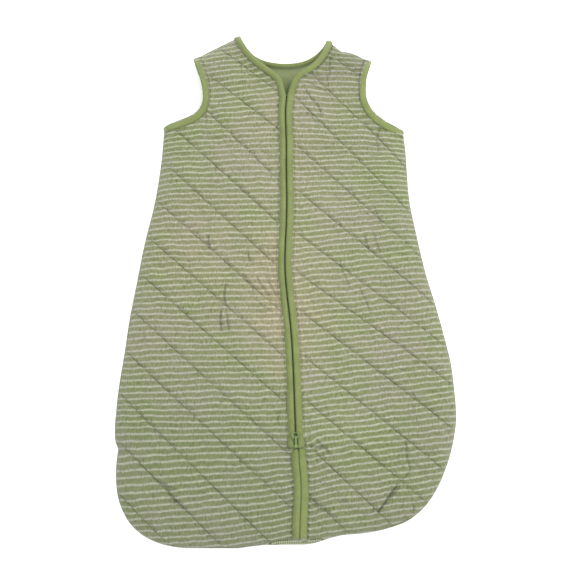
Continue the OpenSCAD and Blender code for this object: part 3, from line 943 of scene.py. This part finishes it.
# ---- bindings
PROFILE_POINTS = 24
PROFILE_POWER = 2.7
FOLD_OUT = 0.35


def tape_profile():
    """Section of a folded tape, from 0 to 1 inwards and -0.5 to 0.5 up, with its sewn groove."""
    angle = np.linspace(0, 2 * math.pi, PROFILE_POINTS, endpoint=False)
    a, b = (0.5 * np.sign(v) * np.abs(v) ** (2 / PROFILE_POWER)
            for v in (np.cos(angle), np.sin(angle)))
    return a + 0.5, b * (1 - 0.22 * bump(a + 0.5, 0.84, 0.06))


PROFILE_IN, PROFILE_UP = tape_profile()


def sweep(path, inward, wide, tall, closed, up_sign=1.0, seed=7):
    """Rings of points of a folded tape along a path, its folded edge on the path."""
    tangent = (np.roll(path, -1, 0) - np.roll(path, 1, 0)) if closed else np.gradient(path, axis=0)
    tangent = unit(tangent)
    inward = unit(inward - (inward * tangent).sum(1)[:, None] * tangent)
    up = np.cross(tangent, inward) * up_sign
    along = length_along(path)
    px, py = along, 0 * along
    if closed:
        radius = (along[-1] + along[1]) / (2 * math.pi)
        px, py = radius * np.cos(along / radius), radius * np.sin(along / radius)
    fat = tall * (1 + 0.07 * waves(px, py, 15, seed) + 0.05 * waves(px, py, 6, seed + 1))
    wide = wide * (1 + 0.03 * waves(px, py, 22, seed + 2))
    reach = (PROFILE_IN[None] * wide[:, None] - FOLD_OUT)[..., None]
    ring = (path[:, None] + inward[:, None] * reach
            + up[:, None] * (PROFILE_UP[None] * fat[:, None])[..., None])
    return ring, path + inward * (wide * 0.84)[:, None] + up * (fat * 0.40)[:, None]


def ring_mesh(name, ring, closed, dim, material):
    """A skin over rings of points, darker where dim says so."""
    count, sides = ring.shape[:2]
    faces = tube_faces(count, sides, closed)
    obj = add_object(name, to_frame(ring.reshape(-1, 3)), faces, material)
    set_attribute(obj, "dim", np.broadcast_to(dim, (count, sides)).ravel())
    if not closed:
        for cap in obj.data.polygons[-2:]:
            cap.use_smooth = False
    return obj


def add_tape(name, ring, closed, dim, *nodes):
    """A folded tape, with painted shade towards its edges and along its sewn groove."""
    edges = (0.52 * bump(PROFILE_IN, 0.0, 0.08) + 0.54 * smooth((PROFILE_IN - 0.90) / 0.10)
             + 0.16 * bump(PROFILE_IN, 0.84, 0.05))
    obj = ring_mesh(name, ring, closed, np.clip(edges[None] + dim, 0, 0.9), BINDING)
    finish_piece(obj, "binding_cloth", *nodes)


def edge_mid_z(path, front=True):
    """Height of the middle of a bound edge."""
    rise = roll(nearest(path, SEAM_LINES), round_size(path))
    return SEAM_Z + ((BINDING_MID_Z if front else BACK_MID_Z) - SEAM_Z) * rise


def normals_of(path, sign):
    """Level directions at right angles to a plan path."""
    tangent = np.gradient(path, axis=0)
    return unit(np.stack([tangent[:, 1], -tangent[:, 0], 0 * tangent[:, 0]], 1) * sign)


def soften(values, passes, closed=False):
    for _ in range(passes):
        if closed:
            values = (np.roll(values, 1, 0) + 2 * values + np.roll(values, -1, 0)) / 4
        else:
            values[1:-1] = (values[:-2] + 2 * values[1:-1] + values[2:]) / 4
    return values


def build_armhole(side):
    plan = even(ARMHOLES[side], 2.0)
    inward = normals_of(plan, SIGN[side])
    layers = []
    for front in (True, False):
        layer = with_height(plan, edge_mid_z(plan, front))
        # Upper edges lie a little nearer the foot than the ones under them
        layer[:, 1] -= LEAN * np.maximum(layer[:, 2] - SEAM_Z, 0)
        layers.append(layer)
    path = np.concatenate([layers[0], layers[1][::-1][1:-1]])
    path[:, 2] = soften(path[:, 2], 2, True)
    inward = np.concatenate([inward, inward[::-1][1:-1]])
    ring, stitches = sweep(path, inward, BINDING_W * 1.02, BINDING_H, True, -SIGN[side],
                           301 + side)
    add_tape("armhole_tape_" + NAME[side], ring, True, 0.0, "armhole_binding_" + NAME[side])
    add_stitches("armhole_stitches_" + NAME[side], [stitches[:len(plan)]])


def side_shade(count, left_end, right_start):
    """The light comes from the upper right, and the left tape leans away from it."""
    index = np.arange(count)[:, None]
    return (0.20 * smooth((PROFILE_IN - 0.35) / 0.3)[None] * (index < left_end)
            + 0.16 * smooth((0.30 - PROFILE_IN) / 0.2)[None] * (index >= right_start))


def build_front_bindings():
    """The zip edges above the tuck and the neck are one run of tape."""
    gap = 1.6
    plans = []
    for side in (LEFT, RIGHT):
        plan = even(FRONT_EDGE[side], gap)
        plan = plan[plan[:, 1] > TUCK_Y - 1]
        low = plan[:, 1] < TUCK_Y + 20
        plan[low, 0] = zip_x(plan[low, 1], 0.0) + SIGN[side] * ZIP_GAP
        plans.append(plan)
    plans.insert(1, even(BACK_NECK, gap)[1:-1])
    plans[2] = plans[2][::-1]
    plan = np.concatenate(plans)
    z = np.concatenate([edge_mid_z(part, k != 1) for k, part in enumerate(plans)])
    path = with_height(plan, soften(z, 2))
    inward = np.concatenate([normals_of(part, sign) for part, sign in zip(plans, (-1, 1, -1))])
    y = path[:, 1]
    path[:, 2] += 0.7 * bump(y, TUCK_Y + 3, 5)
    turn, turn_back = len(plans[0]), len(plans[0]) + len(plans[1])
    index = np.arange(len(path))
    on_back = smooth((index - turn) / 8) * smooth((turn_back - index) / 8)
    hem = smooth((TUCK_Y + 1.6 - y) / 2.4)
    wide = BINDING_W * (1 - 0.22 * on_back + 0.13 * bump(y, TUCK_Y + 4, 5)
                        - 0.04 * bump(y, SLIDER_Y + 10, 12) - 0.10 * hem
                        - 0.06 * smooth((y - 160) / 40) * smooth((530 - y) / 60))
    tall = BINDING_H * (1 + 0.25 * on_back + 0.22 * bump(y, TUCK_Y + 4, 3.5) - 0.45 * hem)
    ring, stitches = sweep(path, soften(inward, 3), wide, tall, False, -1.0, 331)
    # Painted shade on the fold's end at the tuck, where it turns under
    dim = 0.55 * smooth((TUCK_Y + 0.4 - y) / 1.2)[:, None]
    add_tape("zip_and_neck_fold", ring, False, dim + side_shade(len(y), turn, turn_back + 1),
             "zip_binding_left", "neck_binding", "zip_binding_right")
    add_stitches("zip_and_neck_fold_stitches", [stitches])


def build_low_bindings():
    """The zip edges below the tuck, their upper ends pushed under the fold."""
    for side in (LEFT, RIGHT):
        y = np.linspace(BINDING_END_Y, TUCK_Y + 3, 64)
        plan = np.stack([zip_x(y, 1.0) + SIGN[side] * zip_gap(y), y], 1)[::-SIGN[side]]
        y = plan[:, 1]
        under = smooth((y - TUCK_Y + 2.5) / 4)
        path = with_height(plan, edge_mid_z(plan) - 1.9 * under)
        wide = BINDING_W * (1.02 + 0.05 * side * bump(y, 55, 30))
        tall = BINDING_H * (1 - 0.35 * under)
        ring, stitches = sweep(path, normals_of(plan, -1), wide, tall, False, -1.0, 341 + side)
        # Painted shadow where the upper ends run under the fold
        dim = 0.75 * smooth((y - TUCK_Y + 2.4) / 1.6)[:, None]
        dim = dim + side_shade(len(y), *((0, 0) if side else (len(y), len(y))))
        name = "zip_fold_low_" + NAME[side]
        add_tape(name, ring, False, dim)
        add_stitches(name + "_stitches", [stitches])


# ---- stitches
STITCH_L, STITCH_GAP, STITCH_R = 2.3, 0.9, 0.20
STITCH_SPOTS = np.array([-0.5, -0.3, 0.0, 0.3, 0.5])
STITCH_FAT = np.array([0.45, 0.95, 1.0, 0.95, 0.45])
STITCH_DIP = np.array([-1.4, -0.25, 0.25, -0.25, -1.4])
STITCH_SIDES = 6


def one_stitch(at, radius):
    """Vertices of one stitch of thread through five points."""
    direction = unit(at[-1] - at[0])
    side = unit(np.cross(direction, (0, 0, 1)))
    lift = np.cross(side, direction)
    angle = np.linspace(0, 2 * math.pi, STITCH_SIDES, endpoint=False)
    rings = side[None] * np.cos(angle)[:, None] + lift[None] * np.sin(angle)[:, None]
    spine = at + lift[None] * (STITCH_DIP * radius)[:, None]
    return (spine[:, None] + rings[None] * (STITCH_FAT * radius)[:, None, None]).reshape(-1, 3)


def add_stitches(name, lines, material=None, length=STITCH_L, gap=STITCH_GAP, radius=STITCH_R,
                 replaced=()):
    """Separate stitches of thread along lines, each dipping into the cloth at both ends."""
    stitches = []
    for line in lines:
        along = length_along(line)
        for k in range(int(along[-1] / (length + gap))):
            spots = (k + 0.5) * (length + gap) + STITCH_SPOTS * length
            at = np.stack([np.interp(spots, along, line[:, c]) for c in range(3)], 1)
            stitches.append(one_stitch(at, radius))
    finish_piece(add_runs(name, stitches, STITCH_SIDES, material or THREAD), "thread", *replaced)


def quilt_lines(side):
    """Plan points along each stitched row, found where the row number is whole."""
    xs = np.arange(-8, 200, 1.2) * SIGN[side]
    ys = np.linspace(-50, 660, 360)
    values = quilt_row(np.stack(np.meshgrid(xs, ys, indexing="ij"), -1), side)
    lines = [[(x, float(np.interp(-row, -column, ys))) for x, column in zip(xs, values)
              if column.min() < row < column.max()] for row in range(len(ROWS[side]))]
    return [np.array(line) for line in lines if len(line) > 4]


def add_quilting(pad, side):
    """Stitches on the top of a front panel, laid on its surface."""
    mesh = pad.data
    tree = BVHTree.FromPolygons([v.co for v in mesh.vertices], [p.vertices for p in mesh.polygons])
    lines = []
    for plan in quilt_lines(side):
        clear = nearest(plan, SEAM_LINES) > 4
        clear &= nearest(plan, [FRONT_EDGE[side], ARMHOLES[side]]) > BINDING_W + 1
        found = []
        for (x, y), good in zip(to_frame(plan), clear):
            hit = tree.ray_cast(Vector((x, y, 0.06)), Vector((0, 0, -1)))[0]
            found.append(hit.z / MM - 0.02 if good and hit is not None else math.nan)
        found = np.array(found)
        good = np.flatnonzero(~np.isnan(found))
        if len(good) > 5:
            spots = np.arange(good[0], good[-1] + 1)
            lines.append(with_height(plan[spots], np.interp(spots, good, found[good])))
    add_stitches("quilting_stitches_" + NAME[side], lines,
                 replaced=("quilting_thread_" + NAME[side],))


# ---- zip
TOOTH_PITCH, TOOTH_L, TOOTH_T = 3.0, 1.35, 1.7
TEETH_Z = 22.2
CHAIN_LOW, CHAIN_HIGH = 18, 533
BOX_IN = np.array([-1, -0.76, 0.76, 1, 1, 0.76, -0.76, -1])
BOX_UP = np.array([-0.6, -1, -1, -0.6, 0.6, 1, 1, 0.6])
BOX_ALONG = ((-1, 0.7), (-0.75, 1), (0.75, 1), (1, 0.7))


def add_blocks(name, blocks, node):
    """Bevelled blocks, each (centre, half sizes) across, along and up."""
    runs = [np.concatenate([
        np.array(centre) + np.stack([BOX_IN * shrink * half[0], 0 * BOX_IN + along * half[1],
                                     BOX_UP * shrink * half[2]], 1)
        for along, shrink in BOX_ALONG]) for centre, half in blocks]
    finish_piece(add_runs(name, runs, len(BOX_IN), TEETH, True), "zip_plastic", node)


def build_teeth(side):
    """Moulded teeth along the edge of one tape, meshed with the other row."""
    count = int((CHAIN_HIGH - CHAIN_LOW) / TOOTH_PITCH)
    ys = CHAIN_LOW + (np.arange(count) + (0.5 if side == LEFT else 0.0)) * TOOTH_PITCH
    add_blocks("teeth_row_" + NAME[side], [
        ((zip_x(y) + SIGN[side] * 1.1, y, TEETH_Z), (1.7, TOOTH_L / 2, TOOTH_T / 2)) for y in ys],
        "zip_teeth_" + NAME[side])


def build_tape(side):
    """Woven tape behind the teeth, with a thicker cord along its edge."""
    y = np.linspace(BINDING_END_Y + 3, CHAIN_HIGH, 180)[:, None]
    out = np.array([[0.25, 1.2, 2.4, 4, 8, 13.5]])
    thick = np.array([[0.5, 0.8, 0.6, 0.3, 0.3, 0.3]])
    x = zip_x(y) + SIGN[side] * out
    under = np.stack(np.broadcast_arrays(x, y, TEETH_Z - TOOTH_T / 2 - thick), -1)
    top = np.stack(np.broadcast_arrays(x, y, under[..., 2] + thick), -1)
    obj = add_pads("woven_tape_" + NAME[side], [(top, under)], TAPE, side == LEFT)
    finish_piece(obj, "zip_tape", "zip_tape_" + NAME[side])


def build_stops():
    y = CHAIN_HIGH + 1.5
    add_blocks("top_stops", [((zip_x(y) + m * 1.6, y, TEETH_Z + 0.2), (1.5, 1.6, 1.2))
                             for m in SIGN], "zip_top_stops")
    y = CHAIN_LOW - 3
    add_blocks("bottom_box", [((zip_x(y), y, TEETH_Z), (3.2, 2.2, 1.3))], "zip_bottom_stop")


def slider_place(across, along, z):
    """Points given from the slider's middle, across and along the zip."""
    c, s = math.cos(ZIP_LEAN), math.sin(ZIP_LEAN)
    middle = ZIP_FOOT_X - SLIDER_Y * math.tan(ZIP_LEAN)
    return np.stack(np.broadcast_arrays(
        middle + c * across - s * along, SLIDER_Y + s * across + c * along, z), -1)


SLIDER_HALF_L = 7.0
PLATE_Z, PLATE_UNDER_Z = 28.1, 27.0
LOW_PLATE_Z, LOW_PLATE_UNDER_Z = 21.0, 20.2
HOLE_AT, HOLE_ACROSS, HOLE_ALONG = 4.2, 2.8, 1.7


def slider_half_width(along):
    """The mouth is wide, and the sides curve in towards the tail."""
    t = (along + SLIDER_HALF_L) / (2 * SLIDER_HALF_L)
    return (3.3 + 1.9 * smooth((t - 0.30) / 0.5) - 0.5 * bump(t, 0.0, 0.15)
            - 1.2 * np.clip((t - 0.86) / 0.14, 0, 1) ** 2)


def build_slider():
    """Top plate with a raised rim, its mouth and a channel for the tab, and a plate below."""
    across, along = np.meshgrid(np.linspace(-1, 1, 61), np.linspace(-1, 1, 85))
    y = along * SLIDER_HALF_L
    x = across * slider_half_width(y)
    edge = np.abs(across)
    rim = smooth((edge - 0.66) / 0.22) * 0.5 + 0.6 * smooth((along - 0.86) / 0.1)
    rim -= 0.7 * smooth((edge - 0.90) / 0.10) + 0.5 * smooth((along - 0.95) / 0.05)
    far = np.sqrt((x / HOLE_ACROSS) ** 2 + ((y - HOLE_AT) / HOLE_ALONG) ** 2)
    pit = 1 - smooth((far - 0.85) / 0.25)
    channel = (smooth((2.7 - np.abs(x)) / 0.5) * smooth((0.8 - y) / 0.8)
               * smooth((y + 6.6) / 0.8))
    z = PLATE_Z + rim + 0.35 * bump(far, 1.3, 0.25) - 0.8 * channel - 2.4 * pit
    # Painted shade: near black in the mouth's hole, darker in the tab's channel and round the
    # plate's outer edges and tail
    outline = 0.6 * np.maximum(smooth((edge - 0.84) / 0.12), smooth((-along - 0.88) / 0.1))
    shade = np.maximum(np.maximum(0.98 * pit, 0.66 * channel), outline)
    t, r = np.meshgrid(np.linspace(-1, 1, 9), np.linspace(-1, 1, 9))
    wedge, plate = (r * 0.6, 6.1 + t * 0.4), (x * 0.76, y * 0.92)
    pads = [(slider_place(x, y, z), slider_place(x, y, np.minimum(PLATE_UNDER_Z, z - 0.3))),
            (slider_place(*plate, LOW_PLATE_Z), slider_place(*plate, LOW_PLATE_UNDER_Z)),
            (slider_place(*wedge, 27.2), slider_place(*wedge, 20.8))]
    obj = add_pads("slider_shell", pads, SLIDER)
    dim = np.zeros(len(obj.data.vertices))
    dim[:shade.size] = shade.ravel()
    set_attribute(obj, "dim", dim)
    finish_piece(obj, "slider_paint", "slider_body", body="slider")


BRIDGE_SPINE = [(2.9, 28.3), (2.5, 29.6), (1.5, 30.3), (0.2, 30.4), (-0.8, 29.9), (-1.2, 28.0)]


def build_bridge():
    """The low arch that holds the tab's bar."""
    spine = np.array(BRIDGE_SPINE)
    at = np.linspace(0, 1, 24)
    along = length_along(spine)
    y, z = (soften(np.interp(at, along / along[-1], spine[:, k]), 2)[:, None] for k in (0, 1))
    across = np.linspace(-1, 1, 9)[None]
    x, crown = 0.75 * across, z + 0.12 * (1 - across ** 2)
    slope = unit(np.concatenate([np.gradient(y, axis=0), np.gradient(z, axis=0)], 1))
    top = slider_place(x, y, crown)
    under = slider_place(x, y + 0.5 * slope[:, 1:], crown - 0.5 * np.abs(slope[:, :1]))
    obj = add_pads("slider_bridge_shell", [(top[:, ::-1], under[:, ::-1])], SLIDER)
    finish_piece(obj, "slider_paint", "slider_bridge", body="slider")


def build_pull_tab():
    """A short tab: an eye round the bar, a narrow stem and a rounded end."""
    t = np.linspace(0, 1, 34)[:, None]
    tip, root = (np.sqrt(np.clip(1 - np.clip(beyond, 0, 1) ** 2, 0, 1))
                 for beyond in ((t - 0.88) / 0.12, (0.06 - t) / 0.06))
    half = ((0.95 + 0.45 * bump(t, 0.0, 0.12) + 0.85 * bump(t, 0.86, 0.15))
            * np.maximum(tip * root, 0.06))
    tall = (0.62 + 0.22 * bump(t, 0.86, 0.14)) * np.maximum(tip * root, 0.15)
    angle = np.linspace(0, 2 * math.pi, 20, endpoint=False)[None]
    c, s = (np.sign(v) * np.abs(v) ** 0.8 for v in (np.cos(angle), np.sin(angle)))
    ring = slider_place(half * c, 2.0 - 12.4 * t, 29.2 - 0.15 * smooth(t / 0.5) + tall * s)
    finish_piece(ring_mesh("pull_tab_shell", ring, False, 0.0, SLIDER), "slider_paint", "pull_tab",
                 body="pull_tab")


# ---- foot seam
def build_foot_seam():
    """The overlocked turning below the end of the zip: a flat roll with thread over its edge."""
    x = np.linspace(-16, 46, 94)
    shrink = (1 - np.abs((x - 15) / 31.5) ** 3) ** 0.6
    path = np.stack([x, foot_y(x), 0 * x + SEAM_Z + 2.2], 1)
    inward = np.tile((0, 0.70, 0.71), (len(x), 1))
    ring, _ = sweep(path, inward, 8.5 * shrink, 2.8 * shrink, False, 1.0, 411)
    add_tape("foot_turning", ring, False, 0.42, "foot_seam")
    loops = []
    for k in range(6, len(x) - 6, 3):
        outside = ring[k][(ring[k] - ring[k].mean(0)) @ np.array([0, -0.71, 0.70]) > 0.1]
        loops.append(outside[np.argsort(-outside[:, 1])] + (0, -0.2, 0.3))
    add_stitches("foot_overlock", loops, PALE_THREAD, length=3.4, gap=0.2, radius=0.56)


# ---- studio
CAMERA_ELEVATION = math.radians(80)
CAMERA_DISTANCE = 0.95
CAMERA_TARGET = Vector((4.55, -14.6, 12)) * MM
SENSOR_WIDTH = 36
FOCAL_LENGTHS = 800 / 580
KEY_PLACE, KEY_SIZE, KEY_POWER = Vector((1.05, 1.0, 1.5)), 0.9, 30
WORLD_STRENGTH = 1.8


def place_object(name, data, place, forward):
    """Adds a camera or a light that looks along a direction."""
    obj = bpy.data.objects.new(name, data)
    obj.location = place
    obj.rotation_euler = forward.to_track_quat("-Z", "Y").to_euler()
    bpy.context.scene.collection.objects.link(obj)
    return obj


def build_studio():
    scene = bpy.context.scene
    forward = Vector((0, math.cos(CAMERA_ELEVATION), -math.sin(CAMERA_ELEVATION)))
    camera = bpy.data.cameras.new("camera")
    set_all(camera, sensor_width=SENSOR_WIDTH, lens=SENSOR_WIDTH * FOCAL_LENGTHS)
    place = CAMERA_TARGET - forward * CAMERA_DISTANCE
    scene.camera = place_object("camera", camera, place, forward)
    corners = [(-4, -4, 0), (4, -4, 0), (4, 4, 0), (-4, 4, 0)]
    add_object("floor", corners, [(0, 1, 2, 3)], FLOOR)
    key = bpy.data.lights.new("key", "AREA")
    set_all(key, shape="DISK", size=KEY_SIZE, energy=KEY_POWER)
    place_object("key", key, KEY_PLACE, -KEY_PLACE)
    world = bpy.data.worlds.new("studio")
    scene.world = world
    world.use_nodes = True
    background = world.node_tree.nodes["Background"]
    background.inputs["Color"].default_value = (1, 1, 1, 1)
    background.inputs["Strength"].default_value = WORLD_STRENGTH
    scene.view_settings.view_transform = "Standard"


build_studio()
for half in (LEFT, RIGHT):
    add_quilting(build_front(half), half)
    build_armhole(half)
    build_teeth(half)
    build_tape(half)
build_back()
build_front_bindings()
build_low_bindings()
build_stops()
build_slider()
build_pull_tab()
build_bridge()
build_foot_seam()
for node, dress in (("slider_lock_spring", STEEL), ("quilting_thread_back", THREAD),
                    ("care_label", LABEL)):
    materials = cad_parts[node].data.materials
    materials.clear()
    materials.append(dress)
